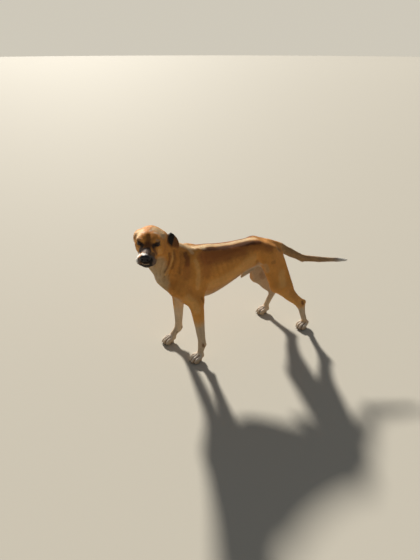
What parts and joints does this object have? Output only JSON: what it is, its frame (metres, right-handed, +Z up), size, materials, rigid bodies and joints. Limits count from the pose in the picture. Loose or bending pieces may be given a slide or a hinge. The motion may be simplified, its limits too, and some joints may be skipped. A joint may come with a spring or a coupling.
{
  "type": "standing dog",
  "caption": "Life-size still model of a lean, short-coated fawn dog with hanging ears, standing on four feet with its head turned to its left and its tail held out low.",
  "frame": {"origin": "bottom centre of the bounding box, on the floor under the chest and belly", "axes": "+Z up, the dog's body faces -Y with its tail towards +Y, and its left side is +X"},
  "size_m": [0.3256, 1.1664, 0.7463],
  "materials": {
    "coat": "matt",
    "coat_pale": "matt",
    "ear": "matt",
    "eye": "glossy",
    "nose": "satin",
    "claw": "satin"
  },
  "bodies": {
    "root": {"claw_fore_left_1": "claw", "claw_fore_left_2": "claw", "claw_fore_left_3": "claw", "claw_fore_left_4": "claw", "claw_fore_right_1": "claw", "claw_fore_right_2": "claw", "claw_fore_right_3": "claw", "claw_fore_right_4": "claw", "claw_hind_left_1": "claw", "claw_hind_left_2": "claw", "claw_hind_left_3": "claw", "claw_hind_left_4": "claw", "claw_hind_right_1": "claw", "claw_hind_right_2": "claw", "claw_hind_right_3": "claw", "claw_hind_right_4": "claw", "dewclaw_left": "claw", "dewclaw_right": "claw", "ear_left": "ear", "ear_right": "ear", "eye_left": "eye", "eye_right": "eye", "foreleg_left": "coat", "foreleg_right": "coat", "forepaw_left": "coat_pale", "forepaw_right": "coat_pale", "head": "coat", "hindleg_left": "coat", "hindleg_right": "coat", "hindpaw_left": "coat_pale", "hindpaw_right": "coat_pale", "lower_jaw": "coat", "neck": "coat", "nose": "nose", "tail": "coat", "trunk": "coat"}
  },
  "joints": []
}
